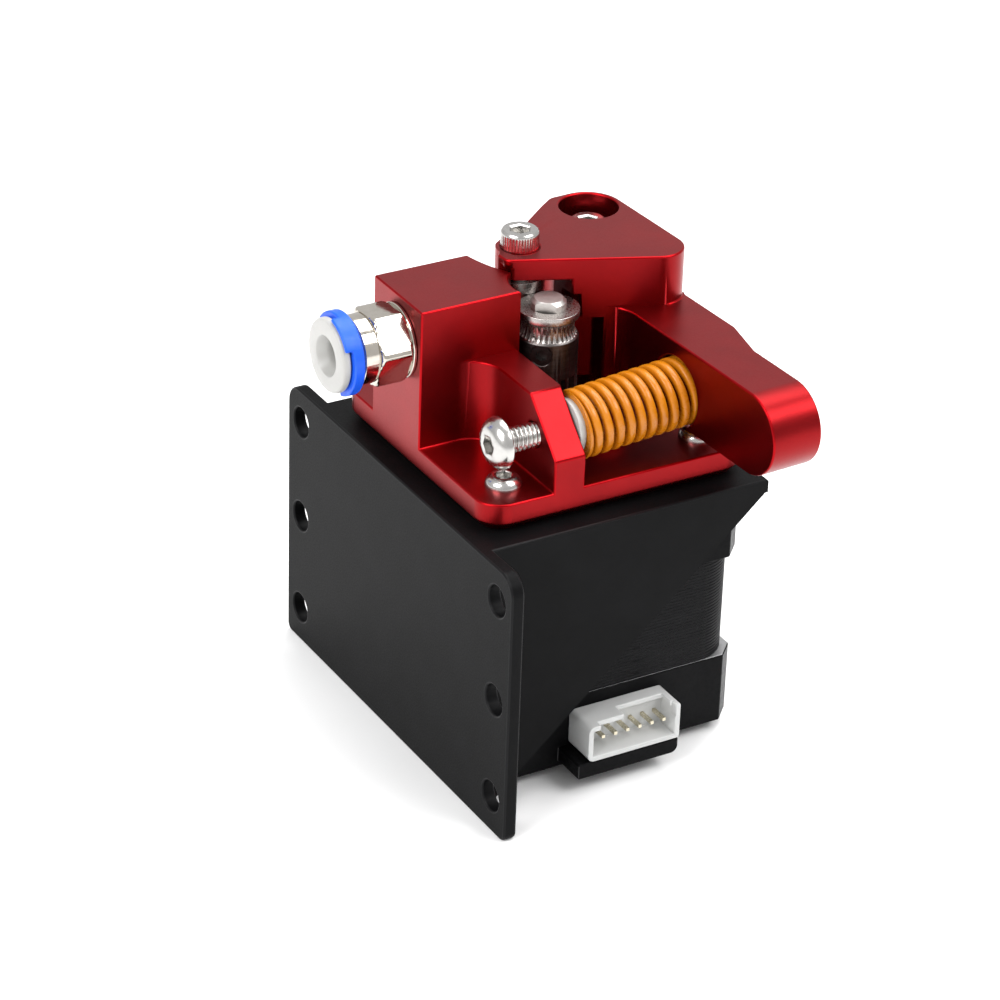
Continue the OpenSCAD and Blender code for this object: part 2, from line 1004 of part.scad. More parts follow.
module motor_shaft() {
    color(steel)
    from_motor()
    difference() {
        union() {
            disc(shaft_d / 2, rear_bearing_z, shaft_top - 0.5);
            translate([0, 0, shaft_top - 0.5])
                cylinder(r1 = shaft_d / 2, r2 = shaft_d / 2 - 0.5, h = 0.5);
        }
        rotate(flat_angle)
            translate([shaft_d / 2 - flat_depth, -shaft_d, 3])
                cube([shaft_d, 2 * shaft_d, shaft_top]);
    }
}

module rotor_stacks() {
    middle = (stack_top + stack_bottom) / 2;
    color("#3c3c40")
    from_motor()
    for (s = [[stack_bottom + 0.5, middle - 1.2], [middle + 1.2, stack_top - 0.5]])
        tube(rotor_r, shaft_d / 2 + eps, s[0], s[1]);
}

module rotor_magnet() {
    middle = (stack_top + stack_bottom) / 2;
    color("#5a5a60")
    from_motor()
    tube(rotor_r - 1, shaft_d / 2 + eps, middle - 1.2 + eps, middle + 1.2 - eps);
}

module at_bearings() {
    for (z = [front_bearing_z, rear_bearing_z])
        translate([0, 0, z])
            children();
}

module ball_track() {
    translate([0, 0, bearing_w / 2])
        rotate_extrude()
            translate([ball_ring_r, 0])
                circle(r = ball_r + run);
}

module bearing_outer_races() {
    color(steel)
    from_motor()
    at_bearings()
        difference() {
            tube(bearing_r, ball_ring_r + 0.7, 0, bearing_w);
            ball_track();
        }
}

module bearing_inner_races() {
    color(steel)
    from_motor()
    at_bearings()
        difference() {
            tube(ball_ring_r - 0.7, shaft_d / 2 + eps, 0, bearing_w);
            ball_track();
        }
}

module bearing_balls() {
    color(steel)
    from_motor()
    at_bearings()
        for (i = [0 : balls - 1])
            rotate(i * 360 / balls)
                translate([ball_ring_r, 0, bearing_w / 2])
                    sphere(r = ball_r);
}

module wave_washer() {
    color(steel)
    from_motor()
    tube(bearing_r - 0.2, bearing_r - 1.4, rear_bearing_z - 0.55, rear_bearing_z - 0.1);
}

module motor_screws() {
    length = motor_length - 3.2 - 6;
    color(steel)
    from_motor()
    at_corners(CORNERS)
        translate([0, 0, motor_back + 3.2])
            rotate([180, 0, 0])
                difference() {
                    union() {
                        disc(socket_head_r, 0, 2.2);
                        disc(m3_r, -length, eps);
                    }
                    for (a = [0, 90])
                        rotate(a)
                            translate([-1.5, -0.25, 1])
                                cube([3, 0.5, 2]);
                }
}

module connector_housing() {
    s = motor_side / 2;
    wall = 0.8;
    first = pin_x - (pins - 1) / 2 * pin_pitch;
    color("#eceeee")
    from_motor()
    difference() {
        translate([plug_x, -s, plug_top - plug_h / 2])
            rotate([90, 0, 0])
                linear_extrude(plug_out)
                    rounded_bar(plug_w, plug_h, [plug_end_r, 0.4, 0.4, plug_end_r]);
        translate([plug_x - plug_w / 2 + wall, -s - plug_out - 1, plug_top - plug_h + wall])
            cube([plug_w - 2 * wall, plug_out - 0.6, plug_h - 2 * wall]);
        // The top wall is cut back a little over all the pins and further over the last four
        translate([first - 1.2, -s - plug_out - 1, plug_top - 2])
            cube([(pins - 1) * pin_pitch + 2.4, 2.1, 3]);
        translate([first + 2 * pin_pitch - 0.8, -s - plug_out - 1, plug_top - 2])
            cube([3 * pin_pitch + 1.6, 4.4, 3]);
        pin_bars();
    }
}

// Square pins, which stand in the back wall of the housing
module pin_bars() {
    for (i = [0 : pins - 1])
        translate([
            pin_x + (i - (pins - 1) / 2) * pin_pitch - 0.25,
            plug_pins_y,
            plug_top - plug_h / 2 - 0.25
        ])
            cube([0.5, plug_out - 2, 0.5]);
}

module connector_pins() {
    color("#d8c27a")
    from_motor()
    pin_bars();
}

mount_bracket();
base_body();
tension_lever();
drive_gear();
drive_set_screw();
idler_gear();
idler_shaft_screw();
idler_needle_cups();
idler_needles();
idler_shims();
pivot_screw();
pivot_bush();
pivot_washer();
mount_screws();
tension_screw();
spring_seat();
tension_spring();
fitting_body();
fitting_grip_ring();
fitting_o_ring();
fitting_collet();
fitting_clip();
motor_front_cap();
motor_stator();
motor_windings();
winding_bobbins();
motor_rear_cap();
motor_shaft();
rotor_stacks();
rotor_magnet();
bearing_outer_races();
bearing_inner_races();
bearing_balls();
wave_washer();
motor_screws();
connector_housing();
connector_pins();
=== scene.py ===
"""Looks of the filament extruder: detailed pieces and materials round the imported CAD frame."""
import json
import math

import bmesh
import bpy
from mathutils import Matrix, Vector


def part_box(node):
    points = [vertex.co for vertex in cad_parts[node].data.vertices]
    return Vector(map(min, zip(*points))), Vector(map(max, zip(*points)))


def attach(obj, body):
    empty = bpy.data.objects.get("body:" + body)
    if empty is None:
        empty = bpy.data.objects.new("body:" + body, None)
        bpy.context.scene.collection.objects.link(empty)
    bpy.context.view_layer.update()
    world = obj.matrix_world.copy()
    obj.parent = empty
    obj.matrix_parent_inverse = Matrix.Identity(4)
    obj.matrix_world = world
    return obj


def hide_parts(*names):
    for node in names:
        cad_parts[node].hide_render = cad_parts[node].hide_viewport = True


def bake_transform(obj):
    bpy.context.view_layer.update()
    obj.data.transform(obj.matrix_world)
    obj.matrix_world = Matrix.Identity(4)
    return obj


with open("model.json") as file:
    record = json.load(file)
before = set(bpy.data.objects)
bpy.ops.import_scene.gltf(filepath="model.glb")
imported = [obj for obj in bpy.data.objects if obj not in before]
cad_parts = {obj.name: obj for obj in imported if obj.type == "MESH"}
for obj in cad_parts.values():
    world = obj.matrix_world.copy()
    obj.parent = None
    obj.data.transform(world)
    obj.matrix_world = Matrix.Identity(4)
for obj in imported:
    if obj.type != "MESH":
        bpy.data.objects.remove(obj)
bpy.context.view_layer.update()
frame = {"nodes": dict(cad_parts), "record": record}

MM = 0.001
TAU = 2 * math.pi

shaft_low, shaft_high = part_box("motor_shaft")
shelf_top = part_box("mount_bracket")[1].z
# The motor axis, at the top of the bracket's shelf. Every place below is in millimetres from here.
ORIGIN = Vector(((shaft_low.x + shaft_high.x) / 2, (shaft_low.y + shaft_high.y) / 2, shelf_top))


def at(x, y, z=0.0):
    return ORIGIN + Vector((x, y, z)) * MM


def local_box(node):
    """A CAD node's lowest and highest corners in millimetres from ORIGIN."""
    low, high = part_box(node)
    return (low - ORIGIN) / MM, (high - ORIGIN) / MM


# ---------------------------------------------------------------- materials

def new_material(name):
    m = bpy.data.materials.new(name)
    m.use_nodes = True
    return m, m.node_tree.nodes, m.node_tree.links, m.node_tree.nodes["Principled BSDF"]


def noise(nodes, links, coords, scale, detail=3.0, stretch=(1, 1, 1)):
    mapping = nodes.new("ShaderNodeMapping")
    mapping.inputs["Scale"].default_value = stretch
    tex = nodes.new("ShaderNodeTexNoise")
    tex.inputs["Scale"].default_value = scale
    tex.inputs["Detail"].default_value = detail
    links.new(coords, mapping.inputs["Vector"])
    links.new(mapping.outputs["Vector"], tex.inputs["Vector"])
    return tex.outputs["Fac"]


def spread(nodes, links, value, low, high, start=0.35, end=0.65):
    ramp = nodes.new("ShaderNodeMapRange")
    ramp.inputs["From Min"].default_value = start
    ramp.inputs["From Max"].default_value = end
    ramp.inputs["To Min"].default_value = low
    ramp.inputs["To Max"].default_value = high
    links.new(value, ramp.inputs["Value"])
    return ramp.outputs["Result"]


def finish_material(
    name, colour, shade, metallic, rough, grain, bump, patch=180.0, stretch=(1, 1, 1),
    coat=0.0, sub=0.0, specular=0.5,
):
    """A surface whose colour, roughness and relief vary: colour to shade in patches, roughness rough[0] to
    rough[1], and a fine relief of that grain size in mm and bump height in mm."""
    m, nodes, links, shader = new_material(name)
    coords = nodes.new("ShaderNodeTexCoord").outputs["Object"]
    broad = noise(nodes, links, coords, patch, 4.0, stretch)
    fine = noise(nodes, links, coords, 1.0 / (grain * MM * 2), 2.0, stretch)
    mix = nodes.new("ShaderNodeMix")
    mix.data_type = "RGBA"
    mix.inputs["A"].default_value = (*colour, 1)
    mix.inputs["B"].default_value = (*shade, 1)
    links.new(spread(nodes, links, broad, 0, 1, 0.3, 0.7), mix.inputs["Factor"])
    links.new(mix.outputs["Result"], shader.inputs["Base Color"])
    links.new(spread(nodes, links, fine, rough[0], rough[1]), shader.inputs["Roughness"])
    relief = nodes.new("ShaderNodeBump")
    relief.inputs["Strength"].default_value = 1.0
    relief.inputs["Distance"].default_value = bump * MM
    links.new(fine, relief.inputs["Height"])
    links.new(relief.outputs["Normal"], shader.inputs["Normal"])
    shader.inputs["Metallic"].default_value = metallic
    shader.inputs["Coat Weight"].default_value = coat
    shader.inputs["Coat Roughness"].default_value = 0.3
    shader.inputs["Specular IOR Level"].default_value = specular
    if sub:
        shader.inputs["Subsurface Weight"].default_value = sub
        shader.inputs["Subsurface Radius"].default_value = (0.001, 0.001, 0.001)
        shader.inputs["Subsurface Scale"].default_value = 1.0
    return m


RED = finish_material(
    "red_anodised", (0.26, 0.003, 0.005), (0.22, 0.002, 0.004), 1.0, (0.30, 0.38), 0.11, 0.004,
    coat=0.15)
# Painted highlight: a brighter copy of the red for the rounded edges, where light catches them; their
# slightly smoother finish is the machined chamfers' own
RED_RIM_HIGHLIGHT = finish_material(
    "red_rim_painted_highlight", (0.36, 0.007, 0.010), (0.30, 0.005, 0.008), 1.0, (0.28, 0.36), 0.2, 0.001)
BLACK = finish_material(
    "black_anodised", (0.0028, 0.0028, 0.003), (0.0042, 0.0042, 0.0046), 0.0, (0.42, 0.52), 0.12, 0.004,
    specular=0.06)
# Painted highlight: a brighter copy of the black for the bracket's rounded edges, where light catches them
BLACK_RIM_HIGHLIGHT = finish_material(
    "black_rim_painted_highlight", (0.005, 0.005, 0.0055), (0.004, 0.004, 0.0045), 0.0, (0.35, 0.45), 0.2, 0.002,
    specular=0.12)
CAP = finish_material(
    "black_paint", (0.002, 0.002, 0.0024), (0.004, 0.004, 0.0044), 0.0, (0.45, 0.6), 0.25, 0.01,
    specular=0.06)
# Painted highlight: a brighter copy of the black paint for the caps' chamfered corners, which face the light
CAP_CORNER_HIGHLIGHT = finish_material(
    "cap_corner_painted_highlight", (0.03, 0.03, 0.031), (0.02, 0.02, 0.021), 0.0, (0.4, 0.55), 0.25, 0.008, specular=0.3)
BARE_LEDGE = finish_material(
    "machined_ledge", (0.34, 0.34, 0.345), (0.27, 0.27, 0.273), 0.9, (0.4, 0.55), 0.2, 0.004)
LAMINATION = finish_material(
    "laminations", (0.003, 0.003, 0.0034), (0.0055, 0.0055, 0.006), 0.0, (0.35, 0.5), 0.2, 0.004,
    patch=400, stretch=(1, 1, 6), specular=0.07)
STAINLESS = finish_material(
    "stainless", (0.54, 0.53, 0.51), (0.48, 0.47, 0.455), 1.0, (0.2, 0.26), 0.15, 0.0006, patch=700)
GEAR = finish_material(
    "gear_steel", (0.15, 0.135, 0.13), (0.09, 0.08, 0.078), 1.0, (0.3, 0.42), 0.12, 0.003,
    patch=500, stretch=(1, 1, 5))
# Painted highlight: a brighter copy of the gear steel for the gears' upper ends
GEAR_HIGHLIGHT = finish_material(
    "gear_painted_highlight", (0.46, 0.43, 0.41), (0.34, 0.31, 0.30), 1.0, (0.24, 0.36), 0.12, 0.002,
    patch=500, stretch=(1, 1, 5))
SHAFT = finish_material(
    "shaft_steel", (0.62, 0.60, 0.58), (0.50, 0.48, 0.46), 1.0, (0.34, 0.44), 0.1, 0.002,
    patch=900, stretch=(1, 1, 4))
NICKEL = finish_material(
    "nickel", (0.62, 0.58, 0.52), (0.54, 0.50, 0.44), 1.0, (0.08, 0.16), 0.3, 0.002, patch=500)
BRONZE = finish_material(
    "bronze", (0.50, 0.36, 0.16), (0.40, 0.28, 0.12), 1.0, (0.3, 0.45), 0.15, 0.004)
SPRING = finish_material(
    "spring_paint", (0.52, 0.175, 0.005), (0.44, 0.14, 0.004), 0.0, (0.22, 0.34), 0.5, 0.006,
    patch=300, specular=0.4)
IVORY = finish_material(
    "collet_plastic", (0.42, 0.415, 0.40), (0.38, 0.375, 0.36), 0.0, (0.28, 0.4), 0.3, 0.004, sub=0.25)
BLUE = finish_material(
    "clip_plastic", (0.010, 0.105, 0.78), (0.008, 0.085, 0.66), 0.0, (0.3, 0.42), 0.3, 0.004,
    sub=0.05, specular=0.3)
RUBBER = finish_material(
    "rubber", (0.02, 0.02, 0.02), (0.03, 0.03, 0.03), 0.0, (0.5, 0.65), 0.1, 0.005)
NYLON = finish_material(
    "nylon", (0.52, 0.525, 0.52), (0.47, 0.475, 0.47), 0.0, (0.35, 0.5), 0.25, 0.006, sub=0.3)
PIN = finish_material(
    "pin_metal", (0.72, 0.66, 0.50), (0.6, 0.55, 0.42), 1.0, (0.2, 0.3), 0.1, 0.002)
COPPER = finish_material(
    "copper", (0.62, 0.24, 0.07), (0.5, 0.17, 0.05), 0.9, (0.25, 0.4), 0.25, 0.03, stretch=(1, 1, 4))
MAGNET = finish_material(
    "magnet", (0.30, 0.30, 0.32), (0.24, 0.24, 0.26), 0.9, (0.35, 0.5), 0.2, 0.004)

SLOTS = {
    "red_anodised": RED, "black_anodised": BLACK, "black_paint": CAP, "laminations": LAMINATION,
    "stainless": STAINLESS, "gear_steel": GEAR, "shaft_steel": SHAFT, "nickel": NICKEL, "bronze": BRONZE,
    "spring_paint": SPRING, "collet_plastic": IVORY, "clip_plastic": BLUE, "rubber": RUBBER,
    "nylon": NYLON, "pin_gold": PIN, "copper": COPPER, "magnet": MAGNET,
}

# ---------------------------------------------------------------- mesh helpers

BODY_OF = {n: b for b, nodes_ in frame["record"]["behaviour"]["bodies"].items() for n in nodes_}
SLOT_OF = {s["node"]: s["material_slot"] for s in frame["record"]["subparts"]}


def smooth(mesh, angle=38.0):
    for p in mesh.polygons:
        p.use_smooth = True
    mesh.set_sharp_from_angle(angle=math.radians(angle))


def weight_normals(obj):
    weighted = obj.modifiers.new("weighted", "WEIGHTED_NORMAL")
    weighted.keep_sharp = True


def register(obj, node, materials):
    """obj stands for a CAD node, on the node's body and in its material slot."""
    for m in materials:
        obj.data.materials.append(m)
    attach(obj, BODY_OF[node])
    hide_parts(node)
    return obj


def new_object(name, bm):
    mesh = bpy.data.meshes.new(name)
    bm.normal_update()
    bm.to_mesh(mesh)
    bm.free()
    obj = bpy.data.objects.new(name, mesh)
    bpy.context.scene.collection.objects.link(obj)
    return obj


def outline_crossings(face):
    """Points where a face's outline crosses itself."""
    u = face.normal.orthogonal().normalized()
    v = face.normal.cross(u)
    flat = [(p.co.dot(u), p.co.dot(v)) for p in face.verts]
    n = len(flat)

    def side(a, b, c):
        return (b[0] - a[0]) * (c[1] - a[1]) - (b[1] - a[1]) * (c[0] - a[0])

    found = []
    for i in range(n):
        a, b = flat[i], flat[(i + 1) % n]
        for j in range(i + 2, n - (i == 0)):
            c, d = flat[j], flat[(j + 1) % n]
            s, t = side(a, b, c), side(a, b, d)
            if s * t < 0 and side(c, d, a) * side(c, d, b) < 0:
                found.append(face.verts[j].co.lerp(face.verts[(j + 1) % n].co, s / (s - t)))
    return found


def edge_distance(edge, point):
    a, b = edge.verts[0].co, edge.verts[1].co
    share = min(max((point - a).dot(b - a) / max((b - a).length_squared, 1e-18), 0.0), 1.0)
    return (a.lerp(b, share) - point).length


MERGE_WITHIN = 0.002  # mm
FLAT_TURN, SHARP_TURN = math.radians(0.6), math.radians(28.0)
ROUNDING_PASSES, ROOM = 10, 1.5  # Room is in widths


def softened(node, width, materials, steps=3, above=None):
    """A copy of a CAD node, or of what is above a height, with its edges rounded by width in mm.

    The roundings take the second material. Edges with no room for the rounding stay sharp: each pass finds
    where outlines cross and leaves the edges round those points out of the next."""
    low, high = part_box(node)
    tight = []
    for _ in range(ROUNDING_PASSES):
        bm = bmesh.new()
        bm.from_mesh(frame["nodes"][node].data)
        bmesh.ops.remove_doubles(bm, verts=bm.verts, dist=MERGE_WITHIN * MM)
        bmesh.ops.dissolve_limit(
            bm, angle_limit=FLAT_TURN, verts=bm.verts, edges=bm.edges, use_dissolve_boundaries=False)
        if above is not None:
            bmesh.ops.bisect_plane(
                bm, geom=bm.verts[:] + bm.edges[:] + bm.faces[:],
                plane_co=at(0, 0, above), plane_no=(0, 0, 1), clear_inner=True)
        for f in bm.faces:
            f.material_index = 0
        edges = [
            e for e in bm.edges
            if len(e.link_faces) == 2 and e.calc_face_angle(0) > SHARP_TURN
            and all(edge_distance(e, p) > ROOM * width * MM for p in tight)
        ]
        bmesh.ops.bevel(
            bm, geom=edges, offset=width * MM, offset_type="OFFSET", segments=steps, profile=0.5,
            affect="EDGES", clamp_overlap=False, material=1 if len(materials) > 1 else -1)
        bm.normal_update()
        crossed = [p for f in bm.faces if len(f.verts) > 3 for p in outline_crossings(f)]
        if not crossed:
            break
        tight += crossed
    for v in bm.verts:
        v.co = Vector([min(max(v.co[k], low[k]), high[k]) for k in range(3)])
    obj = new_object(node + "_part", bm)
    smooth(obj.data)
    weight_normals(obj)
    return register(obj, node, materials)


def loft(bm, loops, matrix, caps=True):
    """Joins closed loops of points, given in mm, into a skin, with flat ends if caps is true."""
    rings = [[bm.verts.new(matrix @ (Vector(p) * MM)) for p in loop] for loop in loops]
    for a, b in zip(rings, rings[1:]):
        n = len(a)
        for i in range(n):
            bm.faces.new((a[i], a[(i + 1) % n], b[(i + 1) % n], b[i]))
    if caps:
        bm.faces.new(list(reversed(rings[0])))
        bm.faces.new(rings[-1])


def ring(radius, z, n):
    """A loop round +Z at height z; radius is a number or a function of the angle."""
    return [
        (r * math.cos(a), r * math.sin(a), z)
        for a in (TAU * i / n for i in range(n))
        for r in ((radius(a) if callable(radius) else radius),)
    ]


def round_square(half, r, z):
    """A square loop with rounded corners."""
    return [
        (sx * (half - r) + r * math.cos(a), sy * (half - r) + r * math.sin(a), z)
        for quarter, (sx, sy) in enumerate(((1, 1), (-1, 1), (-1, -1), (1, -1)))
        for a in (math.radians(90 * quarter + 10 * k) for k in range(10))
    ]


def hexagon(across_flats, turned=0.0, limit=None):
    """Radius of a hexagon as a function of the angle, cut at a limit."""
    def radius(a):
        b = (a - math.radians(turned)) % (TAU / 6) - TAU / 12
        r = across_flats / 2 / math.cos(b)
        return min(r, limit) if limit else r
    return radius


def knurl(r, depth, count):
    return lambda a: r - depth * abs(math.sin(a * count / 2)) ** 1.5


def axis_matrix(origin, direction, spin=0.0):
    """Puts +Z of a shape along direction, at origin (mm from ORIGIN)."""
    turn = Vector(direction).to_track_quat("Z", "Y").to_matrix().to_4x4()
    return Matrix.Translation(at(*origin)) @ turn @ Matrix.Rotation(math.radians(spin), 4, "Z")


def finished(bm, name, node, materials, angle=38.0, flat=True):
    bmesh.ops.recalc_face_normals(bm, faces=bm.faces)
    obj = new_object(name, bm)
    smooth(obj.data, angle)
    if flat:
        weight_normals(obj)
    return register(obj, node, materials)


# ---------------------------------------------------------------- plain CAD nodes get their finishes

for node_name, node_obj in frame["nodes"].items():
    node_obj.data.materials.clear()
    node_obj.data.materials.append(SLOTS[SLOT_OF[node_name]])

# ---------------------------------------------------------------- body parts, edges rounded

# The base's foot is a loft of its own: a square plate, chamfered below, round the well
RED_EDGE, BLACK_EDGE, CAP_EDGE, CLIP_EDGE = 0.28, 0.3, 0.25, 0.25
PLUG_EDGE, SEAT_EDGE, GEAR_EDGE = 0.12, 0.15, 0.08
FOOT_TOP, FOOT_CUT, FOOT_R, WELL_R = 1.6, 1.4, 4.0, 6.0
FOOT_BREAK = 0.06
# The base's rounded edges take the red with a painted highlight
softened("base_body", RED_EDGE, [RED, RED_RIM_HIGHLIGHT], above=FOOT_TOP)
bm = bmesh.new()
foot_low, foot_high = local_box("base_body")
foot_half = (foot_high.x - foot_low.x) / 2
inner = ring(WELL_R, 0, 40)
loft(bm, [
    [(x, y, FOOT_TOP) for x, y, _ in inner],
    round_square(foot_half, FOOT_R, FOOT_TOP), round_square(foot_half, FOOT_R, FOOT_CUT + 0.1),
    round_square(foot_half - FOOT_BREAK, FOOT_R, FOOT_CUT - FOOT_BREAK),
    round_square(foot_half - FOOT_CUT, FOOT_R - FOOT_CUT, 0),
    inner,
    [(x, y, FOOT_TOP) for x, y, _ in inner],
], Matrix.Translation(at(0, 0, 0)), caps=False)
bmesh.ops.remove_doubles(bm, verts=bm.verts, dist=1e-7)
finished(bm, "base_foot", "base_body", [RED], flat=False)

# The lever's rounded edges take the red with a painted highlight
softened("tension_lever", RED_EDGE, [RED, RED_RIM_HIGHLIGHT])
# The bracket's rounded edges take the black with a painted highlight
softened("mount_bracket", BLACK_EDGE, [BLACK, BLACK_RIM_HIGHLIGHT])
# Height of each cap's face against the stack
LEDGES = {"motor_front_cap": -13, "motor_rear_cap": -29}
for cap, ledge in LEDGES.items():
    part = softened(cap, CAP_EDGE, [CAP, CAP_CORNER_HIGHLIGHT])
    part.data.materials.append(BARE_LEDGE)
    for face in part.data.polygons:
        # The chamfered corners are painted brighter than the sides, a painted highlight, and the faces
        # against the stack are machined
        n = face.normal
        if face.material_index == 1:
            face.material_index = 0
        if abs(abs(n.x) - abs(n.y)) < 0.2 and abs(n.z) < 0.3:
            face.material_index = 1
        elif abs(n.z) > 0.9 and abs(face.center.z - at(0, 0, ledge).z) < 0.1 * MM:
            face.material_index = 2
softened("connector_housing", PLUG_EDGE, [NYLON], steps=2)
softened("spring_seat", SEAT_EDGE, [IVORY])
softened("fitting_clip", CLIP_EDGE, [BLUE])
# Height above which the gears are painted brighter, a painted highlight
HIGHLIGHT_FROM = 17.25
for gear in ("drive_gear", "idler_gear"):
    part = softened(gear, GEAR_EDGE, [GEAR], steps=2)
    part.data.materials.append(GEAR_HIGHLIGHT)
    for face in part.data.polygons:
        # The end above the teeth is painted brighter than the teeth, a painted highlight
        if face.center.z > at(0, 0, HIGHLIGHT_FROM).z:
            face.material_index = 1

# ---------------------------------------------------------------- screws

SOCKET_HEAD_H, KNURLS, KNURL_DEPTH = 3.0, 40, 0.10


def socket_head(node, name):
    """A knurled M3 socket head screw that fills the node's box."""
    low, high = local_box(node)
    cx, cy = (low.x + high.x) / 2, (low.y + high.y) / 2
    r, top, under, foot = (high.x - low.x) / 2, high.z, high.z - SOCKET_HEAD_H, low.z
    rough = knurl(r, KNURL_DEPTH, KNURLS)
    n = KNURLS * 6
    bm = bmesh.new()
    rows = [
        (1.3, foot), (1.5, foot + 0.3), (1.5, under), (2.5, under), (r - 0.1, under + 0.15),
        (rough, under + 0.35), (rough, top - 0.65), (r - 0.02, top - 0.5), (r - 0.12, top - 0.2),
        (r - 0.36, top), (hexagon(2.9), top), (hexagon(2.5), top - 0.22),
        (hexagon(2.5), top - 1.5), (1.0, top - 1.55), (0.1, top - 1.9),
    ]
    rings = [ring(radius, z, n) for radius, z in rows]
    loft(bm, rings, Matrix.Translation(at(cx, cy, 0)))
    return finished(bm, name, node, [STAINLESS])


def button_head(bm, matrix, r, h, socket, shank_r, length, threads=0.0):
    """A domed head whose seat is at 0 and whose shank goes down -Z, threaded with that pitch."""
    n = 48
    rows = []
    if threads:
        steps = int(length / threads * 8)
        for i in range(steps + 1):
            z = -length + i * length / steps

            def radius(a, z=z):
                phase = (z / threads + a / TAU) % 1.0
                ridge = 1 - abs(2 * phase - 1)
                taper = min(1.0, (z + length) / 0.8)
                return shank_r - 0.34 * (1 - min(1.0, ridge * 1.25)) - 0.3 * (1 - taper)
            rows.append((radius, z))
    else:
        rows = [(shank_r - 0.2, -length), (shank_r, -length + 0.3), (shank_r, 0)]
    rows += [(r - 0.12, 0.0), (r, 0.12), (r, 0.3)]
    for k in range(1, 7):
        a = math.radians(90) * k / 7
        rows.append((socket * 0.62 + (r - socket * 0.62) * math.cos(a), 0.3 + (h - 0.3) * math.sin(a)))
    rows += [
        (socket * 0.62, h), (hexagon(socket), h - 0.12), (hexagon(socket), h * 0.38),
        (0.2, h * 0.38 - 0.3),
    ]
    loft(bm, [ring(radius, z, n) for radius, z in rows], matrix)


socket_head("idler_shaft_screw", "idler_screw")
socket_head("pivot_screw", "pivot_screw_part")

BUTTON_R, BUTTON_H, BUTTON_KEY, BUTTON_SHANK_R = 2.6, 1.65, 2.0, 1.5
low, high = local_box("mount_screws")
seat_z = high.z - BUTTON_H
bm = bmesh.new()
for x, y in (
    (low.x + BUTTON_R, high.y - BUTTON_R), (low.x + BUTTON_R, low.y + BUTTON_R),
    (high.x - BUTTON_R, low.y + BUTTON_R),
):
    button_head(
        bm, Matrix.Translation(at(x, y, seat_z)), BUTTON_R, BUTTON_H, BUTTON_KEY, BUTTON_SHANK_R,
        seat_z - low.z)
finished(bm, "mount_screw_heads", "mount_screws", [STAINLESS])

TENSION_HEAD_H, TENSION_KEY, TENSION_SHANK_R, TENSION_PITCH, TENSION_TURNED = 2.2, 2.5, 1.8, 0.7, 12
low, high = local_box("tension_screw")
bm = bmesh.new()
head_r = (high.z - low.z) / 2
screw_seat = (low.x + TENSION_HEAD_H, (low.y + high.y) / 2, (low.z + high.z) / 2)
button_head(
    bm, axis_matrix(screw_seat, (-1, 0, 0), TENSION_TURNED), head_r, TENSION_HEAD_H, TENSION_KEY,
    TENSION_SHANK_R, high.x - low.x - TENSION_HEAD_H, threads=TENSION_PITCH)
finished(bm, "tension_screw_part", "tension_screw", [STAINLESS], angle=50)

# ---------------------------------------------------------------- spring

SPRING_FROM, SPRING_TO = Vector((-4.65, -15.0, 10.65)), Vector((13.2, -14.8, 11.9))
TURNS, CLOSED_TURNS, CLOSED_PITCH = 11.5, 1.0, 1.06
WIRE_W, WIRE_T, SPRING_R = 1.14, 1.35, 4.95
WIRE_SIDES, WIRE_SQUARENESS, STEPS_PER_TURN = 16, 0.55, 40


def spring_rise(turns, length):
    """Height of the wire's middle: the first and last turns lie closed and are ground flat."""
    closed_rise = CLOSED_PITCH * WIRE_W
    if turns < CLOSED_TURNS:
        return -WIRE_W / 2 + closed_rise * turns / CLOSED_TURNS
    if turns > TURNS - CLOSED_TURNS:
        return length + WIRE_W / 2 - closed_rise * (TURNS - turns) / CLOSED_TURNS
    low_end = closed_rise - WIRE_W / 2
    high_end = length - low_end
    return low_end + (high_end - low_end) * (turns - CLOSED_TURNS) / (TURNS - 2 * CLOSED_TURNS)


def helix(first, last, name):
    """Part of the spring, from first to last as shares of its turns."""
    axis = SPRING_TO - SPRING_FROM
    length = axis.length
    bm = bmesh.new()
    section = []
    for k in range(WIRE_SIDES):
        a = TAU * k / WIRE_SIDES
        c, s = math.cos(a), math.sin(a)
        section.append((
            math.copysign(abs(c) ** WIRE_SQUARENESS, c) * WIRE_T / 2,
            math.copysign(abs(s) ** WIRE_SQUARENESS, s) * WIRE_W / 2,
        ))
    loops = []
    n0, n1 = round(first * TURNS * STEPS_PER_TURN), round(last * TURNS * STEPS_PER_TURN)
    for i in range(n0, n1 + 1):
        turns = i / STEPS_PER_TURN
        a = turns * TAU
        rise = spring_rise(turns, length)
        mid = SPRING_R - WIRE_T / 2
        loops.append([
            ((mid + u) * math.cos(a), (mid + u) * math.sin(a), min(max(rise + v, 0.0), length))
            for u, v in section
        ])
    turn = axis.to_track_quat("Z", "Y").to_matrix().to_4x4()
    loft(bm, loops, Matrix.Translation(at(*SPRING_FROM)) @ turn)
    bmesh.ops.recalc_face_normals(bm, faces=bm.faces)
    obj = new_object(name, bm)
    smooth(obj.data, 60)
    obj.data.materials.append(SPRING)
    return obj


SPLIT = 0.35
left = helix(0, SPLIT, "spring_left")
right = helix(SPLIT, 1, "spring_right")
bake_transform(left)
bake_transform(right)
for part in (left, right):
    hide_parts("tension_spring")

# ---------------------------------------------------------------- motor laminations

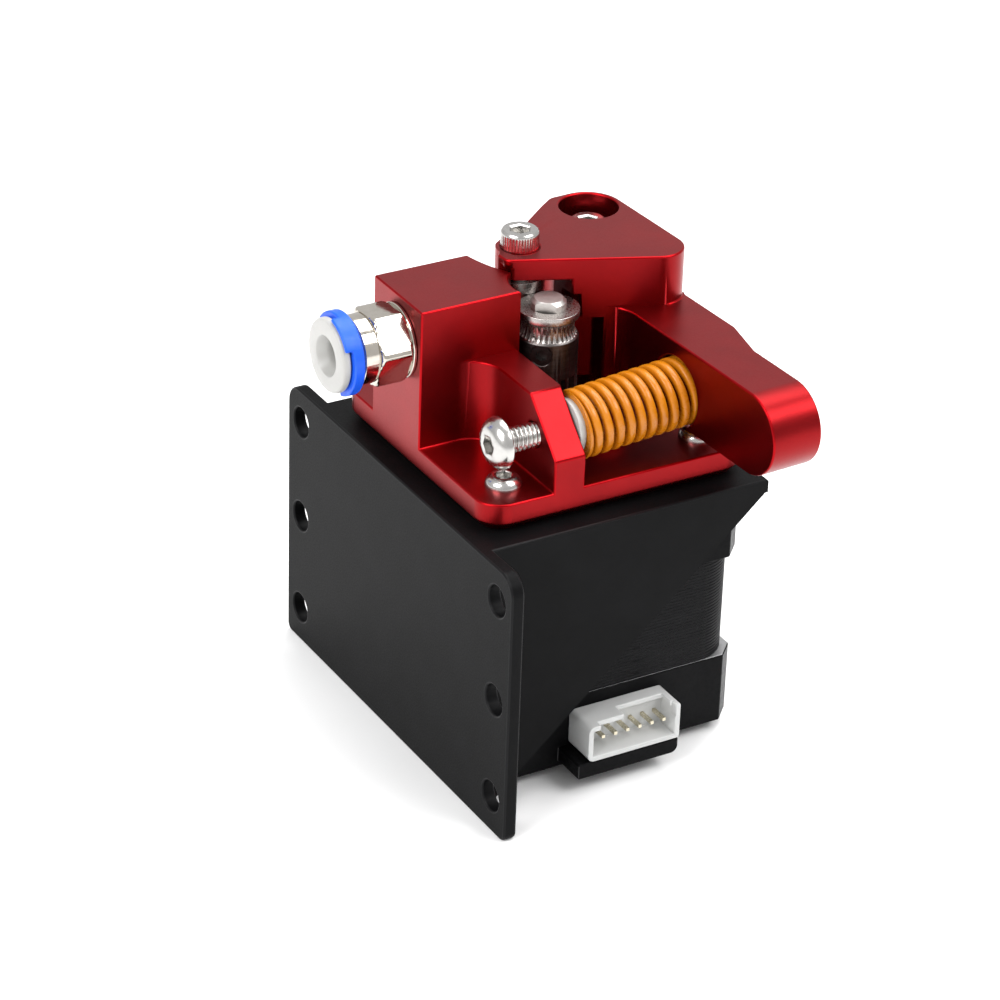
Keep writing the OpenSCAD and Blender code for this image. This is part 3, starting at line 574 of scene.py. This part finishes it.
SHEETS, STACK_R, GROOVE = 32, 6.5, 0.09
MARK_X, MARK_SIZE, MARK_HEIGHTS = 4.0, (0.9, 0.06, 0.3), (-21.9, -24.0, -26.1, -28.2)
low, high = local_box("motor_stator")
bm = bmesh.new()
pitch = (high.z - low.z) / SHEETS
half = (high.x - low.x) / 2
loops = []
for i in range(SHEETS):
    z = low.z + i * pitch
    loops += [
        round_square(half - GROOVE, STACK_R, z), round_square(half, STACK_R, z + GROOVE),
        round_square(half, STACK_R, z + pitch - GROOVE), round_square(half - GROOVE, STACK_R, z + pitch),
    ]
loft(bm, loops, Matrix.Translation(at((low.x + high.x) / 2, (low.y + high.y) / 2, 0)))
bmesh.ops.remove_doubles(bm, verts=bm.verts, dist=1e-6)
# Dark marks where the sheets are pressed together
for z in MARK_HEIGHTS:
    mark_size = Matrix.Diagonal((*(size * MM for size in MARK_SIZE), 1))
    mark = bmesh.ops.create_cube(
        bm, size=1.0, matrix=Matrix.Translation(at(MARK_X, low.y, z)) @ mark_size)
    for face in {f for v in mark["verts"] for f in v.link_faces}:
        face.material_index = 1
finished(bm, "lamination_stack", "motor_stator", [LAMINATION, CAP], flat=False)

# ---------------------------------------------------------------- tube fitting

low, high = local_box("fitting_body")
fit_y, fit_z = (low.y + high.y) / 2, (low.z + high.z) / 2
collet_low, collet_high = local_box("fitting_collet")
# The block's face, and from it outwards: the hexagon, the neck and the fitting's end
FACE = -21.0
HEX_X, NECK_X, FIT_END = FACE - 0.5, FACE - 5.4, FACE - 7.9
HEX_FLATS, HEX_TURN = 10, 5.0
# Depth below the hexagon's end and the radius its corners are turned down to there
HEX_CHAMFER = ((0.0, 5.05), (0.12, 5.3), (0.3, 5.55), (0.55, 5.8))
FITTING_SIDES, COLLET_SIDES = 96, 64

bm = bmesh.new()
fit_matrix = axis_matrix((0, fit_y, fit_z), (-1, 0, 0))


def along(x):
    """Height along the fitting's axis, which points along -X."""
    return -x


rows = [
    (2.1, along(FACE + 5.9)), (2.75, along(FACE + 5.9)), (2.95, along(FACE + 5.6)), (2.95, along(FACE)),
    (5.1, along(FACE)), (5.4, along(FACE - 0.12)), (5.4, along(FACE - 0.4)), (5.3, along(HEX_X)),
]
for depth, limit in HEX_CHAMFER:
    rows.append((hexagon(HEX_FLATS, HEX_TURN, limit), along(HEX_X - depth)))
for depth, limit in reversed(HEX_CHAMFER):
    rows.append((hexagon(HEX_FLATS, HEX_TURN, limit), along(NECK_X + depth)))
rows += [
    (4.8, along(NECK_X)), (4.8, along(NECK_X - 0.2)), (5.0, along(NECK_X - 0.3)),
    (5.0, along(FIT_END + 0.35)), (4.75, along(FIT_END)), (3.9, along(FIT_END)), (3.7, along(FIT_END + 0.2)),
    (3.7, along(NECK_X + 0.2)), (3.3, along(NECK_X + 0.4)), (2.1, along(NECK_X + 1.9)),
]
profile = [ring(radius, z, FITTING_SIDES) for radius, z in rows]
loft(bm, profile + [profile[0]], fit_matrix, caps=False)
bmesh.ops.remove_doubles(bm, verts=bm.verts, dist=1e-7)
finished(bm, "fitting_nut", "fitting_body", [NICKEL], angle=30)

bm = bmesh.new()
FLANGE_T = 1.3
flange_in, flange_out = collet_low.x + FLANGE_T, collet_low.x
rows = [
    (2.05, along(collet_high.x)), (3.0, along(collet_high.x)), (3.0, along(flange_in)),
    (5.05, along(flange_in)), (5.3, along(flange_in - 0.25)), (5.3, along(flange_out + 0.35)),
    (5.2, along(flange_out + 0.15)), (4.95, along(flange_out)), (3.05, along(flange_out)),
    (2.9, along(flange_out + 0.1)), (2.75, along(flange_out + 0.6)), (2.15, along(flange_out + 1.2)),
    (2.05, along(flange_out + 2.0)),
]
profile = [ring(radius, z, COLLET_SIDES) for radius, z in rows]
loft(bm, profile + [profile[0]], fit_matrix, caps=False)
bmesh.ops.remove_doubles(bm, verts=bm.verts, dist=1e-7)
finished(bm, "collet_part", "fitting_collet", [IVORY], angle=40)

# ---------------------------------------------------------------- floor, light and camera

floor_z = min(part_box(n)[0].z for n in frame["nodes"])
floor_mesh = bpy.data.meshes.new("floor")
FLOOR_HALF = 4.0  # m
floor_mesh.from_pydata(
    [(sx * FLOOR_HALF, sy * FLOOR_HALF, floor_z) for sx, sy in ((-1, -1), (1, -1), (1, 1), (-1, 1))],
    [], [(0, 1, 2, 3)])
floor = bpy.data.objects.new("floor", floor_mesh)
bpy.context.scene.collection.objects.link(floor)
floor_mesh.materials.append(finish_material(
    "floor", (0.93, 0.93, 0.93), (0.92, 0.92, 0.92), 0.0, (0.6, 0.7), 2.0, 0.0, patch=2))

# The photo's camera, solved from the motor's, the base's and the plate's known sizes
SENSOR, LENS_SHARE = 36.0, 3.8293
TARGET = at(0, 11.35, -15.22)
AZ, EL, ROLL, DISTANCE = math.radians(-30.744), math.radians(28.962), math.radians(1.942), 0.55615
back = Vector((math.sin(AZ) * math.cos(EL), -math.cos(AZ) * math.cos(EL), math.sin(EL)))
side = Vector((math.cos(AZ), math.sin(AZ), 0))
upward = back.cross(side)
right_v = side * math.cos(ROLL) + upward * math.sin(ROLL)
up_v = upward * math.cos(ROLL) - side * math.sin(ROLL)
cam_data = bpy.data.cameras.new("camera")
cam_data.sensor_width = SENSOR
cam_data.lens = SENSOR * LENS_SHARE
cam_data.clip_start, cam_data.clip_end = 0.01, 20
camera = bpy.data.objects.new("camera", cam_data)
facing = Matrix((right_v, up_v, back)).transposed().to_4x4()
camera.matrix_world = Matrix.Translation(TARGET + back * DISTANCE) @ facing
bpy.context.scene.collection.objects.link(camera)
bpy.context.scene.camera = camera


def area_light(name, azimuth, elevation, distance, size, power):
    """A rectangular light that faces TARGET; angles in degrees, lengths in m, power in W."""
    data = bpy.data.lights.new(name, "AREA")
    data.shape = "RECTANGLE"
    data.size, data.size_y = size
    data.energy = power
    lamp = bpy.data.objects.new(name, data)
    a, e = math.radians(azimuth), math.radians(elevation)
    d = Vector((math.sin(a) * math.cos(e), -math.cos(a) * math.cos(e), math.sin(e)))
    facing = d.to_track_quat("Z", "Y").to_matrix().to_4x4()
    lamp.matrix_world = Matrix.Translation(TARGET + d * distance) @ facing
    bpy.context.scene.collection.objects.link(lamp)


area_light("key", -75, 40, 0.9, (0.5, 0.5), 6)
area_light("front", 40, 48, 1.0, (0.6, 0.4), 5.2)
area_light("top", 120, 70, 1.0, (0.7, 0.7), 8)

world = bpy.data.worlds.new("world")
bpy.context.scene.world = world
world.use_nodes = True
world.node_tree.nodes["Background"].inputs["Color"].default_value = (1, 1, 1, 1)
world.node_tree.nodes["Background"].inputs["Strength"].default_value = 0.75

bpy.context.scene.view_settings.view_transform = "Standard"
